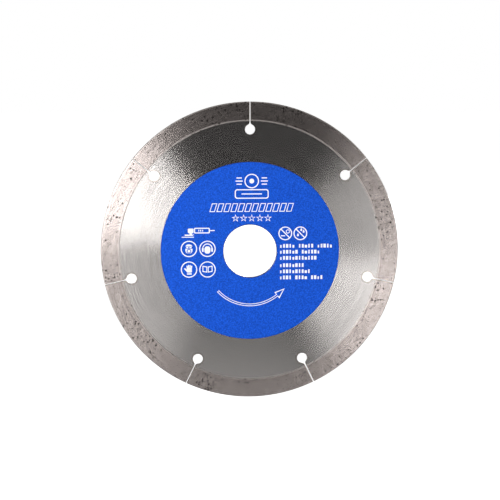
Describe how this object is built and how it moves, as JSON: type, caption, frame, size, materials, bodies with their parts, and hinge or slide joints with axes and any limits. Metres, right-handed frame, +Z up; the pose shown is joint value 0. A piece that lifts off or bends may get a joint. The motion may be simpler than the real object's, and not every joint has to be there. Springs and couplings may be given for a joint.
{
  "type": "diamond blade",
  "caption": "Thin diamond cutting disc with a brushed steel core, a sintered rim parted by narrow radial slots with keyholes, and a round blue label about its bore.",
  "frame": {"origin": "on the bore's axis, half way through the steel core", "axes": "+Z up through the first slot, spin axis along Y, label facing -Y, so the blade stands as it does on a grinder"},
  "size_m": [0.125, 0.001, 0.125],
  "materials": {
    "ground_steel": "ground in circles round the bore",
    "sintered_bond": "matte sintered bronze and cobalt, ground",
    "diamond": "dark synthetic crystals ground flush",
    "adhesive": "clear glue film",
    "blue_foil": "satin blue foil with a fine speckle",
    "white_ink": "matte white print"
  },
  "bodies": {
    "root": {"steel_core": "ground_steel", "rim_segment_1": "sintered_bond", "rim_segment_2": "sintered_bond", "rim_segment_3": "sintered_bond", "rim_segment_4": "sintered_bond", "rim_segment_5": "sintered_bond", "rim_segment_6": "sintered_bond", "rim_segment_7": "sintered_bond", "diamond_grit_1": "diamond", "diamond_grit_2": "diamond", "diamond_grit_3": "diamond", "diamond_grit_4": "diamond", "diamond_grit_5": "diamond", "diamond_grit_6": "diamond", "diamond_grit_7": "diamond", "label_adhesive": "adhesive", "label_foil": "blue_foil", "title_print": "white_ink", "star_print": "white_ink", "arrow_print": "white_ink", "safety_icon_print": "white_ink", "grinder_icon_print": "white_ink", "data_print": "white_ink"}
  },
  "joints": []
}
